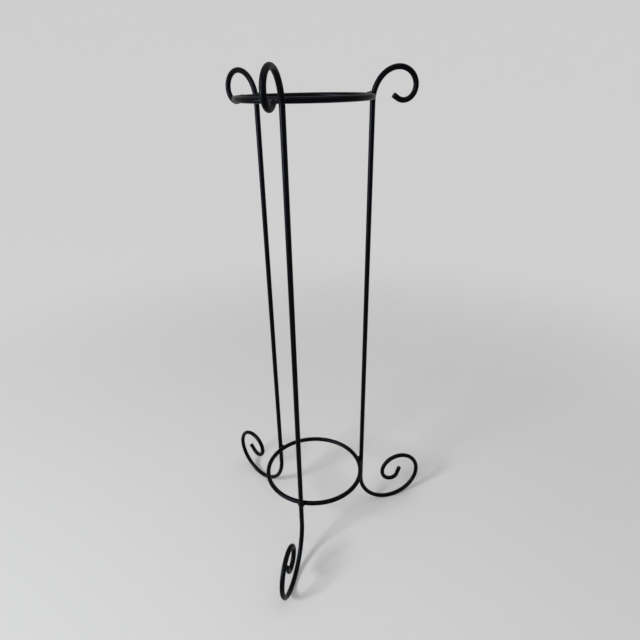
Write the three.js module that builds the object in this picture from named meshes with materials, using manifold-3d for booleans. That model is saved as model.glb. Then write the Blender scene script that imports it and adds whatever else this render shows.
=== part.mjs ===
// A plant stand of bent round steel bar: three legs, each one bar with an open hook at the top and a
// scroll at the bottom, stand around an upper ring that holds the pot and a lower ring that ties them.
// Every crossing of a leg and a ring is welded. Sizes are in millimetres and degrees, +Z is up, and bend,
// ring and leg radii are measured to the bar's centre line.
import * as THREE from 'three';
import { mergeVertices } from 'three/addons/utils/BufferGeometryUtils.js';
import Module from 'manifold-3d';

// The bar that every piece is bent from.
const BAR_DIAMETER = 9;

// Heights of the rings' centre lines. Their radii follow from the legs, which touch them from outside.
const UPPER_RING_HEIGHT = 868.5;
const LOWER_RING_HEIGHT = 132;

// The straight shaft of a leg runs from the start of its hook, just below the upper ring, down past the
// lower ring to the start of its scroll.
const HOOK_START_BELOW_RING = 9.5;
const SHAFT_TOP_RADIUS = 113.5;
const SHAFT_RADIUS_AT_LOWER_RING = 108;

// A bend eases from its first radius to its last: the higher the ease, the sooner it tightens.
const HOOK = { firstRadius: 61.5, lastRadius: 20, sweep: 303, ease: 2.7 };
const HOOK_END_LENGTH = 8.5;
const SCROLL_END_LENGTH = 18;

// The scrolls were rolled by hand and differ a little from leg to leg.
const FRONT_SCROLL = { firstRadius: 87, lastRadius: 15.5, sweep: 521, ease: 1.57 };
const RIGHT_SCROLL = { firstRadius: 83, lastRadius: 10, sweep: 522, ease: 1.1 };
const LEFT_SCROLL = { firstRadius: 94, lastRadius: 16, sweep: 492, ease: 1.55 };

// The legs stand at equal angles round the stand, anticlockwise from the front one as seen from above.
const LEGS = [
  { name: 'front', scroll: FRONT_SCROLL },
  { name: 'right', scroll: RIGHT_SCROLL },
  { name: 'left', scroll: LEFT_SCROLL },
];
const FRONT_LEG_BEARING = -90;

// Each scroll is worn flat by this much where it stands on the floor.
const FOOT_WEAR = 0.5;

// A weld fills the crook around a crossing: its full width along the ring, across both bars and up the
// leg. It is laid from the inside on top of the ring, so its middle lies this far inward and up.
const WELD_WIDTH = 14;
const WELD_DEPTH = 14.5;
const WELD_HEIGHT = 15;
const WELD_INWARD = 1.5;
const WELD_RAISED = 1;

// Pieces that touch on the real stand keep this gap.
const TOUCH_GAP = 0.3;

// How finely round shapes are divided.
const BAR_SIDES = 12;
const BEND_STEP = 9;
const RING_STEPS = 72;
const WELD_SEGMENTS = 16;
const WELD_ROWS = 10;

const BAR_RADIUS = BAR_DIAMETER / 2;
const BAR_FLAT_RADIUS = BAR_RADIUS * Math.cos(Math.PI / BAR_SIDES);
const LEG_TO_RING = 2 * BAR_FLAT_RADIUS + TOUCH_GAP;
const LEG_SPACING = 360 / LEGS.length;
const SHAFT_TOP_HEIGHT = UPPER_RING_HEIGHT - HOOK_START_BELOW_RING;

const radians = THREE.MathUtils.degToRad;

const wasm = await Module();
wasm.setup();

/** A solid that can be joined and cut, from a closed geometry. */
function toSolid(geometry) {
  const bare = geometry.clone();
  bare.deleteAttribute('normal');
  bare.deleteAttribute('uv');
  const merged = mergeVertices(bare);
  return new wasm.Manifold(new wasm.Mesh({
    numProp: 3,
    vertProperties: new Float32Array(merged.attributes.position.array),
    triVerts: new Uint32Array(merged.index.array),
  }));
}

/** The geometry of a solid. */
function toGeometry(solid) {
  const mesh = solid.getMesh();
  const geometry = new THREE.BufferGeometry();
  geometry.setAttribute('position', new THREE.BufferAttribute(mesh.vertProperties, 3));
  geometry.setIndex(new THREE.BufferAttribute(mesh.triVerts, 1));
  geometry.computeVertexNormals();
  return geometry;
}

/** What is left of a geometry once others are taken out of it. */
function cut(geometry, ...cutters) {
  const rest = cutters.reduce((solid, cutter) => solid.subtract(toSolid(cutter)), toSolid(geometry));
  return toGeometry(rest);
}

/** The corners of the bar's round section, flat sides on its axes, grown all round by a clearance. */
function barSection(clearance = 0) {
  const cornerRadius = (BAR_FLAT_RADIUS + clearance) / Math.cos(Math.PI / BAR_SIDES);
  return Array.from({ length: BAR_SIDES }, (_, side) => {
    const angle = (2 * Math.PI * (side + 0.5)) / BAR_SIDES;
    return new THREE.Vector2(cornerRadius * Math.cos(angle), cornerRadius * Math.sin(angle));
  });
}

/** A bar's centre line through stations { x, z, heading } in the plane where x runs outward and z up. */
class BarLine extends THREE.Curve {
  constructor(stations) {
    super();
    this.stations = stations;
    this.steps = stations.length - 1;
  }

  stationAt(fraction) {
    return this.stations[Math.round(fraction * this.steps)];
  }

  getPointAt(fraction, target = new THREE.Vector3()) {
    const { x, z } = this.stationAt(fraction);
    return target.set(x, 0, z);
  }

  getTangentAt(fraction, target = new THREE.Vector3()) {
    const { heading } = this.stationAt(fraction);
    return target.set(Math.cos(heading), 0, Math.sin(heading));
  }
}

/** The station at the end of a straight run. */
function straight({ x, z, heading }, length) {
  return { x: x + length * Math.cos(heading), z: z + length * Math.sin(heading), heading };
}

/** The stations along an eased bend, which turns anticlockwise for a turn of 1 and clockwise for -1. */
function bend(start, turn, { firstRadius, lastRadius, sweep, ease }) {
  const steps = Math.ceil(sweep / BEND_STEP);
  const stepAngle = radians(sweep) / steps;
  const stations = [];
  let station = start;
  for (let step = 0; step < steps; step += 1) {
    const left = 1 - (step + 0.5) / steps;
    const radius = lastRadius + (firstRadius - lastRadius) * left ** ease;
    const chord = 2 * radius * Math.sin(stepAngle / 2);
    const halfTurned = { ...station, heading: station.heading + (turn * stepAngle) / 2 };
    station = { ...straight(halfTurned, chord), heading: station.heading + turn * stepAngle };
    stations.push(station);
  }
  return stations;
}

/** A bent end of a leg: an eased bend, then a short straight end. */
function bentEnd(start, turn, shape, endLength) {
  const stations = bend(start, turn, shape);
  return [...stations, straight(stations.at(-1), endLength)];
}

const shaftRun = SHAFT_TOP_RADIUS - SHAFT_RADIUS_AT_LOWER_RING;
const shaftRise = SHAFT_TOP_HEIGHT - LOWER_RING_HEIGHT;
const downShaft = Math.atan2(-shaftRise, -shaftRun);
const shaftTop = { x: SHAFT_TOP_RADIUS, z: SHAFT_TOP_HEIGHT, heading: downShaft };
const hookStations = bentEnd({ ...shaftTop, heading: downShaft + Math.PI }, -1, HOOK, HOOK_END_LENGTH);

/** The stations of a leg from the hook's end to the scroll's end. The scroll's lowest point sets how long
 *  the shaft is, so that every leg stands on the floor. */
function legStations(scroll) {
  const down = hookStations.map(({ x, z, heading }) => ({ x, z, heading: heading + Math.PI })).reverse();
  const free = bentEnd({ x: 0, z: 0, heading: downShaft }, 1, scroll, SCROLL_END_LENGTH);
  const lowest = Math.min(...free.map(({ z }) => z));
  const bottomHeight = BAR_RADIUS - FOOT_WEAR - lowest;
  const shaftLength = (SHAFT_TOP_HEIGHT - bottomHeight) / Math.sin(-downShaft);
  const shaftBottom = straight(shaftTop, shaftLength);
  return [...down, shaftTop, shaftBottom, ...bentEnd(shaftBottom, 1, scroll, SCROLL_END_LENGTH)];
}

/** How far the leg's centre line is from the stand's axis at a height on the shaft or the hook's rise. */
function legRadiusAt(height) {
  const rise = [straight(shaftTop, shaftRise), shaftTop, ...hookStations];
  const above = rise.findIndex(({ z }, index) => index > 0 && z >= height);
  const [low, high] = [rise[above - 1], rise[above]];
  return THREE.MathUtils.mapLinear(height, low.z, high.z, low.x, high.x);
}

/** A bar along stations, grown all round by a clearance. */
function bar(stations, clearance = 0) {
  const extrudePath = new BarLine(stations);
  const section = new THREE.Shape(barSection(clearance));
  return new THREE.ExtrudeGeometry(section, { steps: extrudePath.steps, extrudePath });
}

/** A leg, worn flat where it meets the floor. */
function leg(stations) {
  const floorSize = 2 * SHAFT_TOP_HEIGHT;
  const floor = new THREE.BoxGeometry(floorSize, floorSize, floorSize).translate(0, 0, -floorSize / 2);
  return cut(bar(stations), floor);
}

/** A ring that the legs touch from outside at its height, grown all round by a clearance. */
function ring(height, clearance = 0) {
  const radius = legRadiusAt(height) - LEG_TO_RING;
  const section = barSection(clearance).map(({ x, y }) => new THREE.Vector2(radius + x, height + y));
  return new THREE.LatheGeometry([...section, section[0]], RING_STEPS).rotateX(Math.PI / 2);
}

/** A weld around the crossing of a leg and a ring, clear of both bars. */
function weld(height, stations) {
  const touching = legRadiusAt(height) - LEG_TO_RING / 2;
  const bead = new THREE.SphereGeometry(0.5, WELD_SEGMENTS, WELD_ROWS)
    .scale(WELD_DEPTH, WELD_WIDTH, WELD_HEIGHT)
    .translate(touching - WELD_INWARD, 0, height + WELD_RAISED);
  return cut(bead, bar(stations, TOUCH_GAP), ring(height, TOUCH_GAP));
}

/** A named mesh in black satin paint. */
function painted(name, geometry, roughness = 0.42) {
  const material = new THREE.MeshStandardMaterial({ color: 0x131316, roughness, metalness: 0.1 });
  const mesh = new THREE.Mesh(geometry, material);
  mesh.name = name;
  return mesh;
}

const stand = new THREE.Group();
stand.add(painted('upper_ring', ring(UPPER_RING_HEIGHT)));
stand.add(painted('lower_ring', ring(LOWER_RING_HEIGHT)));

LEGS.forEach(({ name, scroll }, index) => {
  const stations = legStations(scroll);
  const side = new THREE.Group();
  side.add(painted(`leg_${name}`, leg(stations)));
  side.add(painted(`weld_upper_${name}`, weld(UPPER_RING_HEIGHT, stations), 0.5));
  side.add(painted(`weld_lower_${name}`, weld(LOWER_RING_HEIGHT, stations), 0.5));
  side.rotation.z = radians(FRONT_LEG_BEARING + index * LEG_SPACING);
  stand.add(side);
});

// The origin is on the floor at the middle of the stand's footprint.
const footprint = new THREE.Box3().setFromObject(stand, true).getCenter(new THREE.Vector3());
stand.position.set(-footprint.x, -footprint.y, 0);

export default stand;
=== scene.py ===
"""The looks of a plant stand of bent round steel bar, painted black.

Three legs, each one bar with an open hook at the top and a scroll at the bottom, stand around an
upper ring and a lower ring, and a weld joins them at each of the six crossings. Every bar and weld
is modelled here as a fine mesh in the place of its plain solid. Lengths are in metres, +Z is up,
and bend, ring and leg radii are measured to the bar's centre line.
"""
import logging
import math
import random
from dataclasses import dataclass, field
from enum import Enum
from typing import Any, Iterable, Optional, Sequence

import bmesh
import bpy
from mathutils import Matrix, Vector, noise


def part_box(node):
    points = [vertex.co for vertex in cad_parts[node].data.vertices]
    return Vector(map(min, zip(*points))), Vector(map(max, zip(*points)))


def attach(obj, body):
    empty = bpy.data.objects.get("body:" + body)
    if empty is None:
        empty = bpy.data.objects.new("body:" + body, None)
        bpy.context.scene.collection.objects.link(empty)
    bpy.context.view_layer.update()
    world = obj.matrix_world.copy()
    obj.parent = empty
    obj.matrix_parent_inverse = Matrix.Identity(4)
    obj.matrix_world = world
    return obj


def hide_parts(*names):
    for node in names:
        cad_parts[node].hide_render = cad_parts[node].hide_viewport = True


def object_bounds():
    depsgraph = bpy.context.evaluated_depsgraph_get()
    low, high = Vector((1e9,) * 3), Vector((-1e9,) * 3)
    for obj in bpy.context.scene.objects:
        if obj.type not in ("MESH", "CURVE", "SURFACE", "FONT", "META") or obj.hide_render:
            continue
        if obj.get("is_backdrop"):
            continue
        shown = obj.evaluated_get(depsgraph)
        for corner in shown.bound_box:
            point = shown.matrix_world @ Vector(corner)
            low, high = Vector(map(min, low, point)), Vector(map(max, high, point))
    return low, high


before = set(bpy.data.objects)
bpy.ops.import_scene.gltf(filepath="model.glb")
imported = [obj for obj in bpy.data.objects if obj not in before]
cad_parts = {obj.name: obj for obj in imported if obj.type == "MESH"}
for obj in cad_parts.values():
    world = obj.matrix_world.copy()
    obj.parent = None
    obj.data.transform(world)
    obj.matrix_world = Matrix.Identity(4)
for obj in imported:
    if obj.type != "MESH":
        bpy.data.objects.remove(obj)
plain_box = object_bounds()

log = logging.getLogger("plant_stand")

MM = 0.001
BODY = "root"

# Layers of a mesh: the place of each point on a straightened bar, and how rubbed it is.
PLACE = "bar_place"
RUB = "rub"

# How long the parts of a straight run are at most, on a shaft and on a bar's short end.
SHAFT_STEP = 8 * MM
END_STEP = 2 * MM

Colour = tuple[float, float, float]


class Side(Enum):
    """The three legs, with their bearings round the stand's axis in degrees from +X."""

    FRONT = ("front", -90.0)
    RIGHT = ("right", 30.0)
    LEFT = ("left", 150.0)

    @property
    def label(self) -> str:
        """The word for this side in the names of its pieces."""
        return self.value[0]

    @property
    def bearing(self) -> float:
        """The direction from the stand's axis to the leg, in radians."""
        return math.radians(self.value[1])


class Level(Enum):
    """The two rings."""

    UPPER = "upper"
    LOWER = "lower"


class Turn(Enum):
    """Which way a bend turns, seen with the outside of the stand to the right."""

    ANTICLOCKWISE = 1
    CLOCKWISE = -1


# ---------------------------------------------------------------- node trees


class NodeBench:
    """Short calls that add nodes to a tree and join them."""

    def __init__(self, tree: bpy.types.NodeTree) -> None:
        """Starts on a tree."""
        self.tree = tree

    def add(
        self, kind: str, inputs: Optional[dict[Any, Any]] = None, **settings: Any
    ) -> bpy.types.Node:
        """Adds one node.

        Args:
            kind: The node's type name without its ShaderNode prefix, or a full type name.
            inputs: For each input, by name or number, a socket to join it to or a plain value.
            settings: The node's own settings.

        Returns:
            The new node.
        """
        full = kind if kind.startswith(("ShaderNode", "NodeGroup")) else f"ShaderNode{kind}"
        node = self.tree.nodes.new(full)
        for name, value in settings.items():
            setattr(node, name, value)
        for name, value in (inputs or {}).items():
            self.feed(node.inputs[name], value)
        return node

    def feed(self, socket: bpy.types.NodeSocket, value: Any) -> None:
        """Joins a socket to another one, or sets it to a plain value.

        Args:
            socket: The input that is fed.
            value: The output to join it to, or a plain value, such as a colour of three numbers.
        """
        if isinstance(value, bpy.types.NodeSocket):
            self.tree.links.new(value, socket)
        elif isinstance(value, tuple) and len(value) == 3 and socket.type == "RGBA":
            socket.default_value = (*value, 1.0)
        else:
            socket.default_value = value

    def maths(self, operation: str, *values: Any, clamp: bool = False) -> bpy.types.NodeSocket:
        """One sum of a Math node, as its output."""
        node = self.add("Math", dict(enumerate(values)), operation=operation, use_clamp=clamp)
        return node.outputs[0]

    def ramp(self, value: Any, low: Any, high: Any) -> bpy.types.NodeSocket:
        """Rises smoothly from 0 where the value is low to 1 where it is high."""
        inputs = {"Value": value, "From Min": low, "From Max": high}
        return self.add("MapRange", inputs, interpolation_type="SMOOTHSTEP").outputs["Result"]

    def blend(self, share: Any, first: Any, second: Any) -> bpy.types.NodeSocket:
        """Adds a mix of two colours.

        Args:
            share: How much of the second colour there is.
            first: The colour at a share of 0.
            second: The colour at a share of 1.

        Returns:
            The mixed colour.
        """
        node = self.add("Mix", data_type="RGBA")
        for name, value in (("Factor_Float", share), ("A_Color", first), ("B_Color", second)):
            self.feed(next(s for s in node.inputs if s.identifier == name), value)
        return next(s for s in node.outputs if s.identifier == "Result_Color")

    def speckle(
        self, place: Any, per_metre: Any, detail: float = 3.0, rough: float = 0.5
    ) -> bpy.types.NodeSocket:
        """Noise over a place, from about 0.25 to 0.75.

        Args:
            place: The coordinates, in metres.
            per_metre: How many lumps there are to a metre.
            detail: How many finer layers the noise has.
            rough: How strong the finer layers are.

        Returns:
            The noise's value.
        """
        inputs = {"Vector": place, "Scale": per_metre, "Detail": detail, "Roughness": rough}
        return self.add("TexNoise", inputs).outputs["Fac"]


class Effect:
    """A shader node group that several finishes share. It is built once, when it is first used."""

    name = "effect"
    inputs: dict[str, tuple[str, Any]] = {}
    outputs: dict[str, str] = {}

    @classmethod
    def group(cls) -> bpy.types.NodeTree:
        """Builds the node group at the first call, and finds it again later.

        Returns:
            The node group.
        """
        made = bpy.data.node_groups.get(cls.name)
        if made is None:
            made = bpy.data.node_groups.new(cls.name, "ShaderNodeTree")
            for name, (kind, value) in cls.inputs.items():
                socket = made.interface.new_socket(
                    name, in_out="INPUT", socket_type=f"NodeSocket{kind}"
                )
                socket.default_value = value
            for name, kind in cls.outputs.items():
                made.interface.new_socket(name, in_out="OUTPUT", socket_type=f"NodeSocket{kind}")
            bench = NodeBench(made)
            entry = made.nodes.new("NodeGroupInput")
            leave = made.nodes.new("NodeGroupOutput")
            for name, socket in cls.build(bench, entry.outputs).items():
                bench.feed(leave.inputs[name], socket)
        return made

    @classmethod
    def build(cls, bench: NodeBench, given: Any) -> dict[str, bpy.types.NodeSocket]:
        """Adds the effect's nodes.

        Args:
            bench: The group's tree.
            given: The group's inputs.

        Returns:
            The socket behind each output.
        """
        raise NotImplementedError

    @classmethod
    def place(cls, bench: NodeBench, **inputs: Any) -> Any:
        """Puts the group into a material with its own values.

        Args:
            bench: The material's tree.
            inputs: The group's inputs, with _ for each space in a name.

        Returns:
            The group node's outputs.
        """
        node = bench.tree.nodes.new("ShaderNodeGroup")
        node.node_tree = cls.group()
        for name, value in inputs.items():
            bench.feed(node.inputs[name.replace("_", " ")], value)
        return node.outputs


class BrushedCoat(Effect):
    """Black paint laid on by hand: slow waves and fine streaks along the bar, and small pits.

    Attributes:
        wave_drawn: How far the waves are drawn out along the bar, as a scale of their place.
        streak_drawn: How far the streaks are.
        per_metre: How many lumps of each layer there are to a metre.
        heights: How high each finer layer stands against the waves.
        pit_edge: Where the noise turns into a pit, from its rim to its bottom.
        patch_share: How much of the sheen and of the tone comes from the patches.
    """

    name = "brushed_coat"
    inputs = {
        "Place": ("Vector", (0.0, 0.0, 0.0)),
        "Wave": ("Float", 1.0),
        "Streak": ("Float", 1.0),
        "Pitting": ("Float", 1.0),
    }
    outputs = {"Height": "Float", "Sheen": "Float", "Tone": "Float"}
    wave_drawn = (0.35, 1.0, 1.0)
    streak_drawn = (0.06, 1.0, 1.0)
    per_metre = {"waves": 160.0, "streaks": 900.0, "grain": 2600.0, "pits": 700.0, "patches": 55.0}
    heights = {"streaks": 0.16, "grain": 0.05, "pits": -0.18}
    pit_edge = (0.36, 0.28)
    patch_share = {"sheen": 0.5, "tone": 0.7}

    @classmethod
    def build(cls, bench: NodeBench, given: Any) -> dict[str, bpy.types.NodeSocket]:
        """Adds the waves, the streaks, the grain, the pits and the patches.

        Args:
            bench: The group's tree.
            given: The group's inputs. Place runs along the bar in its X.

        Returns:
            The socket behind each output.
        """
        place, count = given["Place"], cls.per_metre
        squeezed = bench.add("VectorMath", {0: place, 1: cls.wave_drawn}, operation="MULTIPLY")
        drawn = bench.add("VectorMath", {0: place, 1: cls.streak_drawn}, operation="MULTIPLY")
        waves = bench.speckle(squeezed.outputs[0], count["waves"], detail=2.0)
        streaks = bench.speckle(drawn.outputs[0], count["streaks"], rough=0.6)
        grain = bench.speckle(place, count["grain"], detail=2.0, rough=0.6)
        pitted = bench.speckle(place, count["pits"], detail=4.0, rough=0.65)
        pits = bench.ramp(pitted, *cls.pit_edge)
        patches = bench.speckle(place, count["patches"], detail=4.0, rough=0.6)
        height = bench.maths("MULTIPLY", waves, given["Wave"])
        finer = {
            "streaks": (streaks, given["Streak"]),
            "grain": (grain, given["Streak"]),
            "pits": (pits, given["Pitting"]),
        }
        for layer, (noises, strength) in finer.items():
            raised = bench.maths("MULTIPLY", noises, strength)
            height = bench.maths("MULTIPLY_ADD", raised, cls.heights[layer], height)
        sheen, tone = (
            bench.maths(
                "MULTIPLY_ADD", patches, share, bench.maths("MULTIPLY", streaks, 1 - share)
            )
            for share in cls.patch_share.values()
        )
        return {"Height": height, "Sheen": sheen, "Tone": tone}


class SettledDust(Effect):
    """A mask of dust that lies thin and broken on what faces up.

    Attributes:
        upward: How far a face has to turn up for dust to start to lie, and to lie in full.
        clouds: How many large patches there are to a metre, and the edge of each in the noise.
        specks: The same for the specks.
        cloud_share: How much the patches count against the specks.
    """

    name = "settled_dust"
    inputs = {"Place": ("Vector", (0.0, 0.0, 0.0)), "Amount": ("Float", 0.5)}
    outputs = {"Mask": "Float"}
    upward = (0.35, 1.0)
    clouds = (90.0, 0.38, 0.66)
    specks = (3200.0, 0.56, 0.68)
    cloud_share = 0.6

    @classmethod
    def build(cls, bench: NodeBench, given: Any) -> dict[str, bpy.types.NodeSocket]:
        """Adds the mask of upward faces, broken by two sizes of noise.

        Args:
            bench: The group's tree.
            given: The group's inputs.

        Returns:
            The socket behind each output.
        """
        normal = bench.add("NewGeometry").outputs["Normal"]
        upward = bench.ramp(bench.add("SeparateXYZ", {0: normal}).outputs["Z"], *cls.upward)
        cloudy = bench.speckle(given["Place"], cls.clouds[0], detail=4.0, rough=0.6)
        specked = bench.speckle(given["Place"], cls.specks[0], detail=2.0, rough=0.7)
        specks = bench.ramp(specked, *cls.specks[1:])
        broken = bench.ramp(cloudy, *cls.clouds[1:])
        lying = bench.maths(
            "MULTIPLY", upward, bench.maths("MULTIPLY_ADD", broken, cls.cloud_share, specks)
        )
        return {"Mask": bench.maths("MULTIPLY", lying, given["Amount"], clamp=True)}


class RubbedPaint(Effect):
    """A mask of paint rubbed through in small ragged spots, where a piece is marked as rubbed.

    Attributes:
        per_metre: How many ragged spots there are to a metre.
        edge: The sum of noise and rubbing at which paint starts to go, and is gone.
    """

    name = "rubbed_paint"
    inputs = {"Place": ("Vector", (0.0, 0.0, 0.0)), "Rub": ("Float", 0.0)}
    outputs = {"Mask": "Float"}
    per_metre = 800.0
    edge = (1.05, 1.2)

    @classmethod
    def build(cls, bench: NodeBench, given: Any) -> dict[str, bpy.types.NodeSocket]:
        """Adds the ragged edge: the more it is rubbed, the more of the spots are bare.

        Args:
            bench: The group's tree.
            given: The group's inputs.

        Returns:
            The socket behind each output.
        """
        ragged = bench.speckle(given["Place"], cls.per_metre, detail=5.0, rough=0.7)
        level = bench.maths("ADD", ragged, given["Rub"])
        return {"Mask": bench.ramp(level, *cls.edge)}


# ------------------------------------------------------------------ finishes


@dataclass(frozen=True)
class BlackPaint:
    """Satin black paint on the bars.

    Attributes:
        slot: The record's material slot.
        deep: The paint's colour where it is thick.
        thin: Its colour where it is thin.
        dust: The colour of the dust on it.
        bare: The colour of the steel and primer under it.
        satin: How rough it is at its smoothest and its roughest.
        relief: The height of its unevenness.
        wave: How strong its slow waves are.
        streak: How strong its fine streaks are.
        pitting: How strong its pits are.
        dustiness: How much dust lies on it.
        shine: How strong its reflections are.
        sheen: The colour of its reflections.
        thinning: The tone at which it starts to look thin, and at which it looks thinnest.
        dust_rough: How much rougher dust makes it.
        rub_rough: How much rougher rubbing makes it.
        rub_depth: How deep the rubbed spots lie, as a share of the relief.
    """

    slot: str = "black_paint"
    deep: Colour = (0.0004, 0.0004, 0.0006)
    thin: Colour = (0.0011, 0.0012, 0.002)
    dust: Colour = (0.06, 0.057, 0.053)
    bare: Colour = (0.075, 0.07, 0.066)
    satin: tuple[float, float] = (0.26, 0.42)
    relief: float = 0.14 * MM
    wave: float = 1.0
    streak: float = 1.0
    pitting: float = 0.6
    dustiness: float = 0.04
    shine: float = 0.056
    sheen: Colour = (0.74, 0.8, 1.0)
    thinning: tuple[float, float] = (0.35, 0.68)
    dust_rough: float = 0.3
    rub_rough: float = 0.12
    rub_depth: float = 0.45

    def place(self, bench: NodeBench) -> bpy.types.NodeSocket:
        """The coordinates of the pattern, which follow the bar as if it were straight."""
        return self._layer(bench, PLACE)["Vector"]

    @staticmethod
    def _layer(bench: NodeBench, name: str) -> Any:
        """The outputs of a node that reads a layer of the mesh."""
        return bench.add("Attribute", attribute_name=name, attribute_type="GEOMETRY").outputs

    def material(self) -> bpy.types.Material:
        """Builds the material at the first call, and finds it again later.

        Returns:
            The material.
        """
        name = f"finish_{self.slot}"
        made = bpy.data.materials.get(name)
        if made is not None:
            return made
        made = bpy.data.materials.new(name)
        made.use_nodes = True
        made.node_tree.nodes.clear()
        bench = NodeBench(made.node_tree)
        place = self.place(bench)
        coat = BrushedCoat.place(
            bench, Place=place, Wave=self.wave, Streak=self.streak, Pitting=self.pitting
        )
        dust = SettledDust.place(bench, Place=place, Amount=self.dustiness)["Mask"]
        rub = self._layer(bench, RUB)["Fac"]
        rubbed = RubbedPaint.place(bench, Place=place, Rub=rub)["Mask"]
        paint = bench.blend(bench.ramp(coat["Tone"], *self.thinning), self.deep, self.thin)
        dusted = bench.blend(dust, paint, self.dust)
        colour = bench.blend(rubbed, dusted, self.bare)
        smooth, dull = self.satin
        rough = bench.maths("MULTIPLY_ADD", coat["Sheen"], dull - smooth, smooth)
        rough = bench.maths("MULTIPLY_ADD", dust, self.dust_rough, rough)
        rough = bench.maths("MULTIPLY_ADD", rubbed, self.rub_rough, rough, clamp=True)
        sunk = bench.maths("MULTIPLY_ADD", rubbed, -self.rub_depth, coat["Height"])
        bump = bench.add("Bump", {"Strength": 1.0, "Distance": self.relief, "Height": sunk})
        shader = bench.add(
            "BsdfPrincipled",
            {
                "Base Color": colour,
                "Roughness": rough,
                "Normal": bump.outputs["Normal"],
                "Specular IOR Level": self.shine,
                "Specular Tint": self.sheen,
            },
        )
        bench.add("OutputMaterial", {"Surface": shader.outputs["BSDF"]})
        return made


@dataclass(frozen=True)
class WeldPaint(BlackPaint):
    """The same paint over a weld: rougher, and pitted with soot and slag."""

    slot: str = "weld_paint"
    deep: Colour = (0.0006, 0.0006, 0.0008)
    thin: Colour = (0.003, 0.0029, 0.0036)
    satin: tuple[float, float] = (0.3, 0.52)
    relief: float = 0.16 * MM
    streak: float = 1.6
    pitting: float = 1.5
    dustiness: float = 0.07

    def place(self, bench: NodeBench) -> bpy.types.NodeSocket:
        """The coordinates of the pattern, which a weld takes from its place on the stand."""
        return bench.add("TexCoord").outputs["Object"]


def seen_directly(bench: NodeBench) -> bpy.types.NodeSocket:
    """Tells what is seen from light that bounces.

    Args:
        bench: The tree that the nodes are added to.

    Returns:
        1 for what the camera sees, also reflected or through glass, and 0 for the rest.
    """
    path = bench.add("LightPath").outputs
    seen = bench.maths("MAXIMUM", path["Is Camera Ray"], path["Is Glossy Ray"])
    return bench.maths("MAXIMUM", seen, path["Is Transmission Ray"])


@dataclass(frozen=True)
class PaleFloor:
    """The plain pale floor and wall of the studio, which keep the stand's shadow.

    Attributes:
        colour: How much light they give back.
        shown: The pale colour that they show.
        evenness: How far that colour evens out the light on them, at the stand and far from it.
        near: How far from the stand it starts to even out more.
        far: How far from the stand it is most even.
    """

    colour: Colour = (0.62, 0.62, 0.61)
    shown: Colour = (0.66, 0.665, 0.66)
    evenness: tuple[float, float] = (0.15, 0.85)
    near: float = 0.5
    far: float = 2.0

    def material(self) -> bpy.types.Material:
        """Builds the floor's material.

        Returns:
            The material.
        """
        made = bpy.data.materials.new("studio_floor")
        made.use_nodes = True
        made.node_tree.nodes.clear()
        bench = NodeBench(made.node_tree)
        place = bench.add("NewGeometry").outputs["Position"]
        away = bench.add("VectorMath", {0: place}, operation="LENGTH")
        rise = bench.ramp(away.outputs["Value"], self.near, self.far)
        least, most = self.evenness
        even_share = bench.maths("MULTIPLY_ADD", rise, most - least, least)
        share = bench.maths("MULTIPLY", seen_directly(bench), even_share)
        lit = bench.add("BsdfDiffuse", {"Color": self.colour}).outputs["BSDF"]
        even = bench.add("Emission", {"Color": self.shown, "Strength": 1.0}).outputs["Emission"]
        mixed = bench.add("MixShader", {0: share, 1: lit, 2: even})
        bench.add("OutputMaterial", {"Surface": mixed.outputs[0]})
        return made


# --------------------------------------------------------------------- bars


@dataclass(frozen=True)
class BarStock:
    """The round bar that every piece is bent from.

    Attributes:
        diameter: Across the bar.
        sides: How many faces go round it.
        chamfer: The width of the worn edge round a cut end.
        shear: How far the cut face dips where the shear went in.
        grit: How rough the cut face is.
        flattening: The share by which the bar flattens in a bend as tight as its own diameter.
    """

    diameter: float = 9 * MM
    sides: int = 36
    chamfer: float = 0.55 * MM
    shear: float = 0.35 * MM
    grit: float = 0.06 * MM
    flattening: float = 0.045

    @property
    def radius(self) -> float:
        """Half the diameter."""
        return self.diameter / 2


@dataclass(frozen=True)
class Station:
    """A point on a bar's centre line, in the plane where x runs outward and z up.

    Attributes:
        x: How far out it is.
        z: How high it is.
        heading: The direction of the line, in radians from x towards z.
        curve: How sharply the line bends there, as 1 over its radius.
    """

    x: float
    z: float
    heading: float
    curve: float = 0.0

    def ahead(self, length: float) -> "Station":
        """The station at the end of a straight run from here."""
        across, up = length * math.cos(self.heading), length * math.sin(self.heading)
        return Station(self.x + across, self.z + up, self.heading)

    def turned(self, angle: float) -> "Station":
        """The same point with another heading."""
        return Station(self.x, self.z, self.heading + angle, self.curve)

    def back(self) -> "Station":
        """The same point, facing the other way."""
        return self.turned(math.pi)


@dataclass(frozen=True)
class Bend:
    """An eased bend: its radius goes from the first to the last, sooner the higher the ease is.

    Attributes:
        first_radius: The radius where the bend starts.
        last_radius: The radius where it ends.
        sweep: How far it turns, in degrees.
        ease: How soon it tightens.
        end_length: The short straight end after it.
        step: How far each arc of it turns at most, in degrees.
        parts: How many parts each arc is divided into.
    """

    first_radius: float
    last_radius: float
    sweep: float
    ease: float
    end_length: float
    step: float = 9.0
    parts: int = 4

    def stations(self, start: Station, turn: Turn) -> list[Station]:
        """The stations after the start, to the bar's end.

        Args:
            start: Where the bend begins.
            turn: Which way it turns.

        Returns:
            The stations in order.
        """
        arcs = math.ceil(self.sweep / self.step)
        angle = math.radians(self.sweep) / arcs / self.parts
        found, here = [], start
        for arc in range(arcs):
            left = 1 - (arc + 0.5) / arcs
            radius = self.last_radius + (self.first_radius - self.last_radius) * left**self.ease
            chord = 2 * radius * math.sin(angle / 2)
            for _ in range(self.parts):
                there = here.turned(turn.value * angle / 2).ahead(chord)
                heading = here.heading + turn.value * angle
                here = Station(there.x, there.z, heading, turn.value / radius)
                found.append(here)
        return [*found, *run_of(here, self.end_length, END_STEP)]


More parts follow.
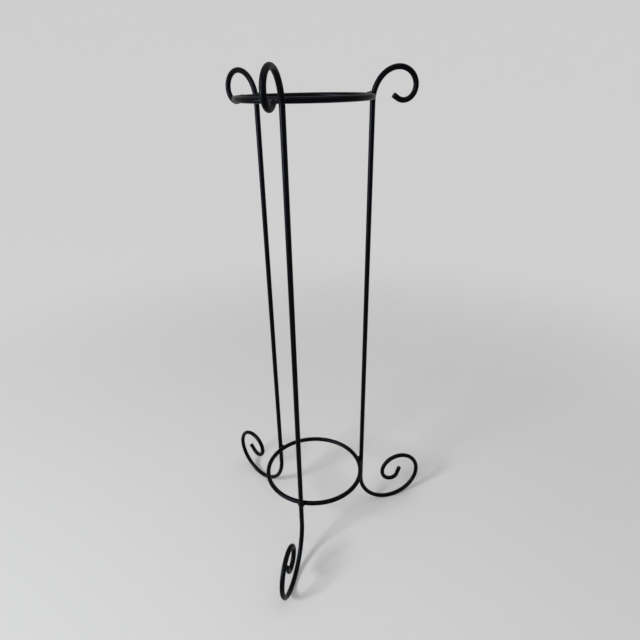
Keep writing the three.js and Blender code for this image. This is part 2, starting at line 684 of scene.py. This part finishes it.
def run_of(start: Station, length: float, step: float) -> list[Station]:
    """The stations of a straight run after its start, evenly spaced.

    Args:
        start: Where the run begins.
        length: How long it is.
        step: The spacing that it has at most.

    Returns:
        The stations in order.
    """
    count = max(1, math.ceil(length / step))
    return [start.ahead(length * (index + 1) / count) for index in range(count)]


def finished_object(name: str, body: bmesh.types.BMesh, finish: BlackPaint) -> bpy.types.Object:
    """Turns a mesh into an object of the scene.

    Args:
        name: The object's name.
        body: The mesh, which is used up.
        finish: The paint that it gets.

    Returns:
        The new object.
    """
    mesh = bpy.data.meshes.new(name)
    for face in body.faces:
        face.smooth = True
    body.to_mesh(mesh)
    body.free()
    made = bpy.data.objects.new(name, mesh)
    bpy.context.scene.collection.objects.link(made)
    mesh.materials.append(finish.material())
    return made


@dataclass
class BarMesh:
    """Builds the skin of a round bar, ring by ring, and notes where on the bar each point is.

    Attributes:
        stock: The bar.
        body: The mesh being built.
        run: How far along the bar the last ring is.
    """

    stock: BarStock
    body: bmesh.types.BMesh = field(default_factory=bmesh.new)
    run: float = 0.0

    def __post_init__(self) -> None:
        """Adds the layers that hold each point's place on the bar and how rubbed it is."""
        self.places = self.body.verts.layers.float_vector.new(PLACE)
        self.rubs = self.body.verts.layers.float.new(RUB)

    def vert(self, point: Vector, angle: float, rub: float) -> bmesh.types.BMVert:
        """Adds one point, at the last ring's run.

        Args:
            point: Where it is.
            angle: Its angle round the bar.
            rub: How rubbed it is.

        Returns:
            The point.
        """
        made = self.body.verts.new(point)
        radius = self.stock.radius
        made[self.places] = Vector((self.run, radius * math.cos(angle), radius * math.sin(angle)))
        made[self.rubs] = rub
        return made

    def ring(
        self,
        centre: Vector,
        across: Vector,
        side: Vector,
        radius: float,
        wide: float = 1.0,
        dips: Optional[Sequence[Vector]] = None,
        rub: float = 0.0,
    ) -> list[bmesh.types.BMVert]:
        """Adds one ring of points.

        Args:
            centre: The ring's middle.
            across: The unit direction in the plane of the bend, square to the bar.
            side: The unit direction square to that plane.
            radius: The ring's radius.
            wide: How much wider than the bar it is along side, and narrower along across.
            dips: A small move for each point.
            rub: How rubbed it is.

        Returns:
            The points in order.
        """
        found = []
        for index in range(self.stock.sides):
            angle = 2 * math.pi * index / self.stock.sides
            out, up = radius / wide * math.cos(angle), radius * wide * math.sin(angle)
            point = centre + across * out + side * up
            if dips:
                point = point + dips[index]
            found.append(self.vert(point, angle, rub))
        return found

    def join(self, first: list[bmesh.types.BMVert], second: list[bmesh.types.BMVert]) -> None:
        """Adds the band of faces between two rings.

        Args:
            first: The points of one ring.
            second: The points of the next one, in the direction that the bar runs.
        """
        for index, corner in enumerate(first):
            following = (index + 1) % len(first)
            self.body.faces.new((corner, first[following], second[following], second[index]))


@dataclass(frozen=True)
class Rub:
    """Where paint is rubbed: a point on the stand, and how far and how strong the rubbing is."""

    point: Vector
    reach: float
    strength: float

    def at(self, point: Vector) -> float:
        """How rubbed a point is, from 0 to the strength."""
        left = max(0.0, 1 - (point - self.point).length / self.reach)
        return self.strength * left * left * (3 - 2 * left)


# --------------------------------------------------------------------- legs


@dataclass
class Leg:
    """One leg: a single bar with its hook, its shaft and its scroll.

    Attributes:
        side: Which of the three legs it is.
        scroll: The bend at its bottom.
        axis: The stand's axis, where it meets the floor.
        upper_height: The height of the upper ring's centre line.
        lower_height: The height of the lower ring's centre line.
        stock: The bar.
        hook: The bend at its top.
        hook_start_below_ring: How far below the upper ring the hook starts.
        shaft_top_radius: How far the shaft's top is from the stand's axis.
        shaft_radius_at_lower_ring: How far the shaft is from it at the lower ring.
        foot_wear: How deep the scroll is worn flat where it stands.
        end_rub: How far and how strong the paint is rubbed at a cut end.
        foot_rub: The same where the scroll stands.
        worn_edge: The worn edge's outline, as shares of the chamfer: how far along and how far in.
        face_rings: The rings on a cut face, as shares of its radius.
        grit_spread: How far apart its grit is read in the noise, from point to point of a ring
            and from its middle to its edge.
        finish: The paint.
    """

    side: Side
    scroll: Bend
    axis: Vector
    upper_height: float
    lower_height: float
    stock: BarStock = BarStock()
    hook: Bend = Bend(61.5 * MM, 20 * MM, 303, 2.7, 8.5 * MM)
    hook_start_below_ring: float = 9.5 * MM
    shaft_top_radius: float = 113.5 * MM
    shaft_radius_at_lower_ring: float = 108 * MM
    foot_wear: float = 0.5 * MM
    end_rub: tuple[float, float] = (7 * MM, 0.5)
    foot_rub: tuple[float, float] = (9 * MM, 0.75)
    worn_edge: tuple[tuple[float, float], ...] = (
        (0.35, 0.08), (0.7, 0.3), (0.95, 0.72), (1.0, 1.25)
    )
    face_rings: tuple[float, ...] = (0.7, 0.4, 0.15)
    grit_spread: tuple[float, float] = (0.9, 7.0)
    finish: BlackPaint = BlackPaint()

    def __post_init__(self) -> None:
        """Works out the leg's centre line."""
        self.outward = Vector((math.cos(self.side.bearing), math.sin(self.side.bearing), 0))
        self.along_ring = Vector((-self.outward.y, self.outward.x, 0))
        self.rise = self._rise()
        self.line = self._line()

    @property
    def name(self) -> str:
        """The name of the leg's piece."""
        return f"leg_{self.side.label}_bar"

    @property
    def shaft_top(self) -> Station:
        """Works out the top of the straight shaft.

        Returns:
            The station there, heading down.
        """
        height = self.upper_height - self.hook_start_below_ring
        run = self.shaft_top_radius - self.shaft_radius_at_lower_ring
        return Station(self.shaft_top_radius, height, math.atan2(self.lower_height - height, -run))

    def _rise(self) -> list[Station]:
        """The stations from the shaft's top to the hook's end."""
        return self.hook.stations(self.shaft_top.back(), Turn.CLOCKWISE)

    def _line(self) -> list[Station]:
        """Lays out the whole leg, so that its scroll stands on the floor.

        Returns:
            The stations from the hook's end to the scroll's end.
        """
        top = self.shaft_top
        free = self.scroll.stations(Station(0, 0, top.heading), Turn.ANTICLOCKWISE)
        lowest = self._lowest_knot(free)
        bottom_height = self.stock.radius - self.foot_wear - lowest
        length = (top.z - bottom_height) / math.sin(-top.heading)
        shaft = run_of(top, length, SHAFT_STEP)
        down = [station.back() for station in reversed(self.rise)]
        return [*down, top, *shaft, *self.scroll.stations(shaft[-1], Turn.ANTICLOCKWISE)]

    def _lowest_knot(self, stations: list[Station]) -> float:
        """The height of the lowest end of an arc among the stations of a free bend."""
        return min(station.z for station in stations[self.scroll.parts - 1 :: self.scroll.parts])

    def radius_at(self, height: float) -> float:
        """Finds the centre line at a height on the shaft or on the hook's rise.

        Args:
            height: The height.

        Returns:
            How far the centre line is from the stand's axis there.
        """
        top = self.shaft_top
        if height <= top.z:
            return top.x + (height - top.z) / math.tan(top.heading)
        low, high = next(
            pair for pair in zip([top, *self.rise], self.rise) if pair[0].z <= height <= pair[1].z
        )
        return low.x + (high.x - low.x) * (height - low.z) / (high.z - low.z)

    def point(self, x: float, z: float) -> Vector:
        """A point of the leg's plane in the scene."""
        return self.axis + self.outward * x + Vector((0, 0, z))

    def rubs(self) -> list[Rub]:
        """Lists the places where the paint is rubbed.

        Returns:
            Both cut ends, and the spot under the scroll.
        """
        hook_end, scroll_end = self.line[0], self.line[-1]
        foot = min(self.line, key=lambda station: station.z)
        return [
            Rub(self.point(hook_end.x, hook_end.z), *self.end_rub),
            Rub(self.point(scroll_end.x, scroll_end.z), *self.end_rub),
            Rub(self.point(foot.x, 0.0), *self.foot_rub),
        ]

    def build(self) -> bpy.types.Object:
        """Builds the leg's skin, with its two sheared ends.

        Returns:
            The leg's piece.
        """
        mesh = BarMesh(self.stock)
        previous = self._cut_end(mesh, self.line[0], -1)
        last = self.line[0]
        for station in self.line[1:-1]:
            mesh.run += math.hypot(station.x - last.x, station.z - last.z)
            ring = self._ring(mesh, station)
            mesh.join(previous, ring)
            previous, last = ring, station
        end = self.line[-1]
        mesh.run += math.hypot(end.x - last.x, end.z - last.z)
        mesh.join(previous, self._cut_end(mesh, end, 1))
        for vert in mesh.body.verts:
            vert.co.z = max(vert.co.z, 0.0)
            vert[mesh.rubs] = max(rub.at(vert.co) for rub in self.rubs())
        return finished_object(self.name, mesh.body, self.finish)

    def _across(self, station: Station) -> Vector:
        """The direction square to the bar in the leg's plane, to its left as it runs."""
        return self.outward * -math.sin(station.heading) + Vector((0, 0, math.cos(station.heading)))

    def _ring(self, mesh: BarMesh, station: Station) -> list[bmesh.types.BMVert]:
        """Adds one ring of the skin, a little flattened where the bar bends.

        Args:
            mesh: The skin.
            station: Where the ring goes.

        Returns:
            The points in order.
        """
        stock = self.stock
        wide = 1 + stock.flattening * min(1.0, abs(station.curve) * stock.diameter)
        centre = self.point(station.x, station.z)
        return mesh.ring(centre, self._across(station), self.along_ring, stock.radius, wide)

    def _cut_end(self, mesh: BarMesh, station: Station, facing: int) -> list[bmesh.types.BMVert]:
        """Adds a sheared end: its worn edge, and its face, which dips on one side.

        Args:
            mesh: The skin.
            station: The bar's end.
            facing: 1 where the bar's line ends there, and -1 where it begins.

        Returns:
            The ring that the rest of the bar joins.
        """
        stock, across = self.stock, self._across(station)
        rise = Vector((0, 0, math.sin(station.heading)))
        run = self.outward * math.cos(station.heading) + rise
        inner_station = station.ahead(-facing * stock.chamfer)
        inner_centre = self.point(inner_station.x, inner_station.z)
        outer = self._ring(mesh, inner_station)
        previous = outer
        bites = [self._bite(index) for index in range(stock.sides)]
        for forward, inward in self.worn_edge:
            centre = inner_centre + run * (facing * forward * stock.chamfer)
            dips = [run * (-facing * forward * bite) for bite in bites]
            radius = stock.radius - inward * stock.chamfer
            ring = mesh.ring(centre, across, self.along_ring, radius, 1.0, dips)
            self._face_band(mesh, previous, ring, facing)
            previous = ring
        face_centre = self.point(station.x, station.z)
        face_radius = stock.radius - self.worn_edge[-1][1] * stock.chamfer
        for share in self.face_rings:
            depths = [share * bite + self._grit(index, share) for index, bite in enumerate(bites)]
            dips = [run * (-facing * depth) for depth in depths]
            ring = mesh.ring(face_centre, across, self.along_ring, share * face_radius, 1.0, dips)
            self._face_band(mesh, previous, ring, facing)
            previous = ring
        tip = mesh.vert(face_centre, 0.0, 0.0)
        for index, corner in enumerate(previous):
            following = previous[(index + 1) % len(previous)]
            edge = (corner, following) if facing > 0 else (following, corner)
            mesh.body.faces.new((*edge, tip))
        return outer

    def _face_band(
        self,
        mesh: BarMesh,
        outside: list[bmesh.types.BMVert],
        inside: list[bmesh.types.BMVert],
        facing: int,
    ) -> None:
        """Adds the faces between two rings of a cut end, facing out of the bar.

        Args:
            mesh: The skin.
            outside: The outer ring.
            inside: The inner ring.
            facing: 1 where the bar's line ends there, and -1 where it begins.
        """
        if facing > 0:
            mesh.join(outside, inside)
        else:
            mesh.join(inside, outside)

    def _bite(self, index: int) -> float:
        """How far the cut face dips at a point round its edge, on the side that was cut first."""
        angle = 2 * math.pi * index / self.stock.sides
        return self.stock.shear * max(0.0, math.cos(angle - self.side.bearing)) ** 2

    def _grit(self, index: int, share: float) -> float:
        """Works out the small roughness of the cut face.

        Args:
            index: The point's number in its ring.
            share: The ring's radius, as a share of the face's.

        Returns:
            How much further the face dips there.
        """
        round_edge, to_edge = self.grit_spread
        place = Vector((index * round_edge, share * to_edge, self.side.bearing))
        return self.stock.grit * noise.noise(place)


# -------------------------------------------------------------------- rings


@dataclass
class Ring:
    """A ring of the same bar, inside the legs, which touch it from outside.

    Attributes:
        level: Which of the two rings it is.
        radius: The radius of its centre line.
        height: The height of its centre line.
        axis: The stand's axis, where it meets the floor.
        stock: The bar.
        steps: How many parts it is divided into.
        finish: The paint.
    """

    level: Level
    radius: float
    height: float
    axis: Vector
    stock: BarStock = BarStock()
    steps: int = 216
    finish: BlackPaint = BlackPaint()

    @property
    def name(self) -> str:
        """The name of the ring's piece."""
        return f"{self.level.value}_ring_bar"

    def build(self) -> bpy.types.Object:
        """Builds the ring's skin. The pattern's coordinates go round it, so they end in a seam.

        Returns:
            The ring's piece.
        """
        mesh = BarMesh(self.stock)
        rings = []
        for step in range(self.steps):
            bearing = 2 * math.pi * step / self.steps
            outward = Vector((math.cos(bearing), math.sin(bearing), 0))
            centre = self.axis + outward * self.radius + Vector((0, 0, self.height))
            mesh.run = self.radius * bearing
            rings.append(mesh.ring(centre, -outward, Vector((0, 0, 1)), self.stock.radius))
        for step, ring in enumerate(rings):
            mesh.join(rings[step - 1], ring)
        return finished_object(self.name, mesh.body, self.finish)


# -------------------------------------------------------------------- welds


@dataclass(frozen=True)
class Lump:
    """One drop of a weld: its middle, outward, along the ring and up, and its radius."""

    across: float
    along: float
    up: float
    radius: float


@dataclass
class Weld:
    """The weld at one crossing of a leg and a ring.

    The main bead lies in the crook on top of the ring and wraps the inner half of the leg. A
    thinner one lies under the ring. Each is a row of drops run together, so that it is rippled.

    Attributes:
        leg: The leg.
        ring: The ring.
        seed: The number that its unevenness comes from.
        bead: The radius of the main bead in its middle.
        under: The size of the bead under the ring, as a share of the main one.
        drops: How many drops each bead has.
        wrap: How far the main bead and the one under the ring wrap the leg each way, in degrees.
        taper: How much smaller a bead's last drops are than its middle one, as a share.
        uneven: How small and how large a drop may come out, as a share of its size.
        stand_off: How far the drops' middles are from the leg, as a share of the bead.
        crown: How far they are from the ring, as a share of the bead.
        crown_fall: How fast that falls off round the leg.
        toe: The drops that run inward over the ring, along it.
        toe_size: Their size, as a share of the bead.
        toe_uneven: How small and how large each may come out, as a share of that.
        toe_place: How far outward and up they lie.
        toe_scatter: How far each is off its place.
        core: The drops beside the place where the bars touch, along the ring, and their size.
        core_across: How far outward those lie.
        core_ends: The drops above and below that place, and their size.
        grain: The size of the mesh that the drops are run together with.
        smoothing: How often that mesh is smoothed.
        spatter: How many balls of spatter there are.
        on_leg: The share of them that stick to the leg.
        ball: How small and how large a ball may be.
        around: Where round the bar a ball may stick, in degrees.
        leg_reach: How near and how far along the leg a ball may stick.
        ring_reach: The same along the ring.
        ripple: The coarse unevenness: its lumps to a metre and its height.
        pimple: The same for the fine unevenness.
        noise_apart: How far apart two welds with neighbouring seeds are read in the noise.
        finish: The paint.
    """

    leg: Leg
    ring: Ring
    seed: int
    bead: float = 3.0 * MM
    under: float = 0.55
    drops: int = 9
    wrap: tuple[float, float] = (82.0, 58.0)
    taper: float = 0.38
    uneven: tuple[float, float] = (0.92, 1.08)
    stand_off: float = 0.22
    crown: float = 0.52
    crown_fall: float = 0.8
    toe: tuple[float, ...] = (-2.4 * MM, -0.9 * MM, 0.8 * MM, 2.2 * MM)
    toe_size: float = 0.72
    toe_uneven: tuple[float, float] = (0.9, 1.1)
    toe_place: tuple[float, float] = (-3.3 * MM, 3.6 * MM)
    toe_scatter: float = 0.3 * MM
    core: tuple[tuple[float, ...], float] = ((-2.9 * MM, -1.5 * MM, 1.5 * MM, 2.9 * MM), 1.9 * MM)
    core_across: float = -0.2 * MM
    core_ends: tuple[tuple[float, ...], float] = ((-2.9 * MM, 2.9 * MM), 2.3 * MM)
    grain: float = 0.32 * MM
    smoothing: int = 3
    spatter: int = 3
    on_leg: float = 0.5
    ball: tuple[float, float] = (0.25 * MM, 0.45 * MM)
    around: tuple[float, float] = (100, 260)
    leg_reach: tuple[float, float] = (9.5 * MM, 14 * MM)
    ring_reach: tuple[float, float] = (9 * MM, 13 * MM)
    ripple: tuple[float, float] = (420, 0.16 * MM)
    pimple: tuple[float, float] = (1500, 0.05 * MM)
    noise_apart: float = 3.1
    finish: WeldPaint = WeldPaint()

    @property
    def name(self) -> str:
        """The name of the weld's piece."""
        return f"weld_{self.ring.level.value}_{self.leg.side.label}_bead"

    @property
    def stock(self) -> BarStock:
        """The bar of the leg and the ring."""
        return self.leg.stock

    @property
    def crossing(self) -> Matrix:
        """Works out where the bars touch.

        Returns:
            The move there from the weld's own axes: x outward, y along the ring and z up.
        """
        touching = self.leg.radius_at(self.ring.height) - self.stock.radius
        where = self.leg.point(touching, self.ring.height)
        turned = Matrix((self.leg.outward, self.leg.along_ring, Vector((0, 0, 1)))).transposed()
        return Matrix.Translation(where) @ turned.to_4x4()

    def _bead(
        self, chance: random.Random, facing: int, size: float, wrap: float
    ) -> Iterable[Lump]:
        """Lays one bead round the leg.

        Args:
            chance: Where its unevenness comes from.
            facing: 1 for the bead on top of the ring, and -1 for the one under it.
            size: The radius of its middle drop.
            wrap: How far it wraps the leg each way, in degrees.

        Returns:
            The drops in order.
        """
        radius = self.stock.radius
        for drop in range(self.drops):
            share = 2 * drop / (self.drops - 1) - 1
            angle = math.radians(wrap) * share
            drop_radius = size * (1 - self.taper * share * share) * chance.uniform(*self.uneven)
            stand_off = radius + self.stand_off * size
            across = radius - stand_off * math.cos(angle)
            along = stand_off * math.sin(angle)
            inside = min(radius, max(0.0, radius + across))
            on_ring = math.sqrt(max(0.0, radius**2 - inside**2))
            up = on_ring + self.crown * size * math.cos(angle * self.crown_fall)
            yield Lump(across, along, facing * up, drop_radius)

    def _toe(self, chance: random.Random) -> Iterable[Lump]:
        """Lays the drops that run inward over the top of the ring.

        Args:
            chance: Where their unevenness comes from.

        Returns:
            The drops in order.
        """
        across, up = self.toe_place
        for along in self.toe:
            drop_radius = self.toe_size * self.bead * chance.uniform(*self.toe_uneven)
            off = chance.uniform(-self.toe_scatter, self.toe_scatter)
            yield Lump(across + off, along, up, drop_radius)

    def _core(self) -> Iterable[Lump]:
        """Fills the gap around the place where the bars touch.

        Returns:
            The drops in order.
        """
        places, radius = self.core
        for along in places:
            yield Lump(self.core_across, along, 0.0, radius)
        places, radius = self.core_ends
        for up in places:
            yield Lump(0.0, 0.0, up, radius)

    def _spatter(self, chance: random.Random) -> Iterable[Lump]:
        """Sticks small balls of spatter to the leg's and the ring's sides, close to the weld.

        Args:
            chance: Where their sizes and places come from.

        Returns:
            The balls in order.
        """
        radius = self.stock.radius
        for _ in range(self.spatter):
            size = chance.uniform(*self.ball)
            angle = math.radians(chance.uniform(*self.around))
            if chance.random() < self.on_leg:
                reach = chance.choice((-1, 1)) * chance.uniform(*self.leg_reach)
                height = self.ring.height
                lean = self.leg.radius_at(height + reach) - self.leg.radius_at(height)
                across = lean + radius + radius * math.cos(angle)
                yield Lump(across, radius * math.sin(angle), reach, size)
            else:
                reach = chance.choice((-1, 1)) * chance.uniform(*self.ring_reach)
                bow = self.ring.radius - math.sqrt(self.ring.radius**2 - reach**2)
                across = -radius - bow + radius * math.cos(angle - math.pi)
                yield Lump(across, reach, radius * abs(math.sin(angle)), size)

    def lumps(self) -> list[Lump]:
        """Gathers the whole weld, in an order that keeps its chances the same in each run.

        Returns:
            All its drops and balls.
        """
        chance = random.Random(self.seed)
        return [
            *self._core(),
            *self._bead(chance, 1, self.bead, self.wrap[0]),
            *self._toe(chance),
            *self._bead(chance, -1, self.bead * self.under, self.wrap[1]),
            *self._spatter(chance),
        ]

    def build(self) -> bpy.types.Object:
        """Builds the weld: the drops are run together, smoothed and made a little uneven.

        Returns:
            The weld's piece.
        """
        drops = bmesh.new()
        for lump in self.lumps():
            at = Matrix.Translation((lump.across, lump.along, lump.up))
            bmesh.ops.create_icosphere(drops, subdivisions=3, radius=lump.radius, matrix=at)
        mesh = bpy.data.meshes.new("drops")
        drops.to_mesh(mesh)
        drops.free()
        rough = bpy.data.objects.new("drops", mesh)
        bpy.context.scene.collection.objects.link(rough)
        remesh = rough.modifiers.new("run_together", "REMESH")
        remesh.mode = "VOXEL"
        remesh.voxel_size = self.grain
        evaluated = rough.evaluated_get(bpy.context.evaluated_depsgraph_get())
        joined = bmesh.new()
        joined.from_mesh(evaluated.to_mesh())
        evaluated.to_mesh_clear()
        bpy.data.objects.remove(rough)
        axes = {"use_axis_x": True, "use_axis_y": True, "use_axis_z": True}
        for _ in range(self.smoothing):
            bmesh.ops.smooth_vert(joined, verts=joined.verts, factor=0.5, **axes)
        joined.normal_update()
        self._roughen(joined)
        rubs = joined.verts.layers.float.new(RUB)
        for vert in joined.verts:
            vert[rubs] = 0.0
        bmesh.ops.transform(joined, matrix=self.crossing, verts=joined.verts)
        return finished_object(self.name, joined, self.finish)

    def _roughen(self, joined: bmesh.types.BMesh) -> None:
        """Moves the points in and out a little, by noise that differs from weld to weld.

        Args:
            joined: The weld's mesh, around the place where the bars touch.
        """
        shift = Vector((self.seed * self.noise_apart, 0, 0))
        layers = (self.ripple, self.pimple)
        moves = []
        for vert in joined.verts:
            depth = sum(high * noise.noise(vert.co * count + shift) for count, high in layers)
            moves.append(vert.normal * depth)
        for vert, move in zip(joined.verts, moves):
            vert.co += move


# -------------------------------------------------------------------- stand


@dataclass
class PlantStand:
    """The whole stand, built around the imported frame.

    Attributes:
        stock: The bar that everything is bent from.
        first_seed: The number that the first weld's unevenness comes from. The others follow it.
        scrolls: The hand-rolled scroll of each leg.
    """

    stock: BarStock = BarStock()
    first_seed: int = 11
    scrolls: dict[Side, Bend] = field(
        default_factory=lambda: {
            Side.FRONT: Bend(87 * MM, 15.5 * MM, 521, 1.57, 18 * MM),
            Side.RIGHT: Bend(83 * MM, 10 * MM, 522, 1.1, 18 * MM),
            Side.LEFT: Bend(94 * MM, 16 * MM, 492, 1.55, 18 * MM),
        }
    )

    def __post_init__(self) -> None:
        """Takes the axis and the rings' heights from the frame, and lays out the parts."""
        middles = {level: self._middle(f"{level.value}_ring") for level in Level}
        upper, lower = middles[Level.UPPER], middles[Level.LOWER]
        axis = Vector((upper.x, upper.y, 0))
        self.legs = [
            Leg(side, bend, axis, upper.z, lower.z, self.stock)
            for side, bend in self.scrolls.items()
        ]
        self.rings = [
            Ring(level, self._ring_radius(middle.z), middle.z, axis, self.stock)
            for level, middle in middles.items()
        ]
        crossings = [(leg, ring) for ring in self.rings for leg in self.legs]
        self.welds = [
            Weld(leg, ring, seed) for seed, (leg, ring) in enumerate(crossings, self.first_seed)
        ]

    def _ring_radius(self, height: float) -> float:
        """The radius of a ring's centre line, which lies inside the legs that touch it."""
        return self.legs[0].radius_at(height) - self.stock.diameter

    @staticmethod
    def _middle(node: str) -> Vector:
        """The middle of a CAD node's box."""
        low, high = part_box(node)
        return (low + high) / 2

    def build(self) -> None:
        """Builds every piece, and says which node each stands for."""
        for leg in self.legs:
            self._settle(leg.build(), f"leg_{leg.side.label}", leg.finish.slot)
        for ring in self.rings:
            self._settle(ring.build(), f"{ring.level.value}_ring", ring.finish.slot)
        for weld in self.welds:
            node = f"weld_{weld.ring.level.value}_{weld.leg.side.label}"
            self._settle(weld.build(), node, weld.finish.slot)

    @staticmethod
    def _settle(piece: bpy.types.Object, node: str, slot: str) -> None:
        """Lets a piece ride on the stand in the place of its node, and logs it.

        Args:
            piece: The piece.
            node: The CAD node that it stands for.
            slot: The record's material slot for its finish. It is not used.
        """
        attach(piece, BODY)
        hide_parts(node)
        log.info("%s: %d points, for %s", piece.name, len(piece.data.vertices), node)


# ------------------------------------------------------------------- studio


@dataclass(frozen=True)
class CameraSpot:
    """Where the camera stands and looks.

    Attributes:
        distance: How far it is from the stand's axis.
        height: How high it is above the floor.
        bearing: How far round the stand it is from the front, anticlockwise from above, in degrees.
        aside: How far it looks to the right of the stand's axis, in degrees.
        down: How far it looks down, in degrees.
        roll: How far it is rolled anticlockwise, in degrees.
        lens: Its focal length for the sensor's width.
        sensor: The sensor's width.
    """

    distance: float = 0.84728
    height: float = 0.8947
    bearing: float = 15.184
    aside: float = 1.236
    down: float = 25.611
    roll: float = -1.074
    lens: float = 28.374
    sensor: float = 36.0

    def make(self, axis: Vector) -> bpy.types.Object:
        """Adds the camera and makes it the scene's.

        Args:
            axis: The stand's axis, where it meets the floor.

        Returns:
            The camera.
        """
        bearing, aim = math.radians(self.bearing), math.radians(self.aside - self.bearing)
        down, roll = math.radians(self.down), math.radians(self.roll)
        away = Vector((math.sin(aim), math.cos(aim), 0))
        right = Vector((math.cos(aim), -math.sin(aim), 0))
        forward = away * math.cos(down) - Vector((0, 0, math.sin(down)))
        up = away * math.sin(down) + Vector((0, 0, math.cos(down)))
        rolled_right = right * math.cos(roll) + up * math.sin(roll)
        rolled_up = up * math.cos(roll) - right * math.sin(roll)
        turned = Matrix((rolled_right, rolled_up, -forward)).transposed().to_4x4()
        where = axis + Vector(
            (self.distance * math.sin(bearing), -self.distance * math.cos(bearing), self.height)
        )
        data = bpy.data.cameras.new("camera")
        data.lens = self.lens
        data.sensor_width = self.sensor
        camera = bpy.data.objects.new("camera", data)
        camera.matrix_world = Matrix.Translation(where) @ turned
        bpy.context.scene.collection.objects.link(camera)
        bpy.context.scene.camera = camera
        return camera


@dataclass(frozen=True)
class SoftLamp:
    """A square soft lamp that faces a point of the stand, out of the camera's sight.

    Attributes:
        name: Its name.
        where: Its place from the middle of the stand's footprint.
        size: Its width.
        power: Its power in watts.
        colour: The colour of its light.
        sheen_only: Whether it only shows in reflections, as a reflector beside the stand does.
    """

    name: str
    where: tuple[float, float, float]
    size: float
    power: float
    colour: Colour = (1.0, 1.0, 1.0)
    sheen_only: bool = False

    def make(self, target: Vector) -> bpy.types.Object:
        """Adds the lamp.

        Args:
            target: The point that it faces.

        Returns:
            The lamp.
        """
        data = bpy.data.lights.new(self.name, "AREA")
        data.shape = "SQUARE"
        data.size = self.size
        data.energy = self.power
        data.color = self.colour
        lamp = bpy.data.objects.new(self.name, data)
        lamp.visible_camera = False
        lamp.visible_diffuse = not self.sheen_only
        lamp.location = Vector(self.where)
        lamp.rotation_mode = "QUATERNION"
        lamp.rotation_quaternion = (target - lamp.location).to_track_quat("-Z", "Y")
        bpy.context.scene.collection.objects.link(lamp)
        return lamp


@dataclass(frozen=True)
class Studio:
    """The plain pale floor, which sweeps up into a wall all round, the lamps and the camera.

    Attributes:
        reach: How far the floor goes before it sweeps up.
        sweep: The radius of the sweep.
        wall: How high the wall goes above the sweep.
        sides: How many parts the floor has all round.
        sweep_steps: How many parts the sweep has from the floor to the wall.
        world_strength: How strong the light from all round is.
        floor: The finish of the floor and the wall.
        camera: The camera.
        lamps: The lamps.
    """

    reach: float = 1.6
    sweep: float = 3.4
    wall: float = 1.0
    sides: int = 96
    sweep_steps: int = 15
    world_strength: float = 0.5
    floor: PaleFloor = PaleFloor()
    camera: CameraSpot = CameraSpot()
    lamps: tuple[SoftLamp, ...] = (
        SoftLamp("window", (-1.6, -2.37, 2.3), 0.85, 96.0, (0.95, 0.97, 1.0)),
        SoftLamp("side", (-2.2, -1.9, 0.6), 0.9, 130.0, (0.86, 0.87, 1.0), sheen_only=True),
        SoftLamp("overhead", (0.6, -0.3, 2.9), 1.8, 14.0),
    )

    def build(self, axis: Vector, target: Vector) -> None:
        """Builds the studio round the stand.

        Args:
            axis: The stand's axis, where it meets the floor.
            target: The point that the lamps face.
        """
        self.camera.make(axis)
        for lamp in self.lamps:
            lamp.make(target)
        self._floor()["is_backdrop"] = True
        self._world()
        bpy.context.scene.view_settings.view_transform = "Standard"

    def _profile(self) -> list[tuple[float, float]]:
        """Works out the floor's outline, from near its middle to the top of the wall.

        Returns:
            Its points, as radius and height.
        """
        arc = [math.radians(90 * step / self.sweep_steps) for step in range(self.sweep_steps + 1)]
        swept = [
            (self.reach + self.sweep * math.sin(angle), self.sweep * (1 - math.cos(angle)))
            for angle in arc
        ]
        inner = [(self.reach / 8, 0.0), (self.reach / 2, 0.0)]
        return [*inner, *swept, (self.reach + self.sweep, self.sweep + self.wall)]

    def _floor(self) -> bpy.types.Object:
        """Builds the floor and the wall as one swept surface.

        Returns:
            The floor.
        """
        body = bmesh.new()
        rings = []
        angles = [2 * math.pi * side / self.sides for side in range(self.sides)]
        for radius, height in self._profile():
            points = [(radius * math.cos(a), radius * math.sin(a), height) for a in angles]
            rings.append([body.verts.new(point) for point in points])
        body.faces.new(rings[0])
        for inner, outer in zip(rings, rings[1:]):
            for side in range(self.sides):
                following = (side + 1) % self.sides
                body.faces.new((inner[side], outer[side], outer[following], inner[following]))
        mesh = bpy.data.meshes.new("studio_floor")
        for face in body.faces:
            face.smooth = True
        body.to_mesh(mesh)
        body.free()
        mesh.materials.append(self.floor.material())
        made = bpy.data.objects.new("studio_floor", mesh)
        bpy.context.scene.collection.objects.link(made)
        return made

    def _world(self) -> None:
        """Sets the world's soft light, with a pale background where the camera sees it."""
        world = bpy.data.worlds.new("studio")
        world.use_nodes = True
        world.node_tree.nodes.clear()
        bench = NodeBench(world.node_tree)
        light = bench.add("Background", {"Color": (1.0, 1.0, 1.0), "Strength": self.world_strength})
        shown = bench.add("Background", {"Color": self.floor.shown, "Strength": 1.0})
        choice = {0: seen_directly(bench), 1: light.outputs[0], 2: shown.outputs[0]}
        mixed = bench.add("MixShader", choice)
        bench.add("OutputWorld", {"Surface": mixed.outputs[0]})
        bpy.context.scene.world = world


def write_sizes(before: Sequence[Vector], after: Sequence[Vector]) -> None:
    """Lists the box of the plain solids and the box of the finished stand, and keeps neither.

    Args:
        before: The lowest and the highest corner of the plain solids.
        after: The same two corners of the finished stand.
    """
    boxes = {"cad": before, "visual": after}
    {name: [list(corner) for corner in box] for name, box in boxes.items()}


def main() -> None:
    """Builds the stand and the studio around it."""
    logging.basicConfig(level=logging.INFO, format="%(name)s: %(message)s")
    stand = PlantStand()
    stand.build()
    low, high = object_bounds()
    Studio().build(stand.legs[0].axis, (low + high) / 2)
    write_sizes(plain_box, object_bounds())


if __name__ == "__main__":
    main()
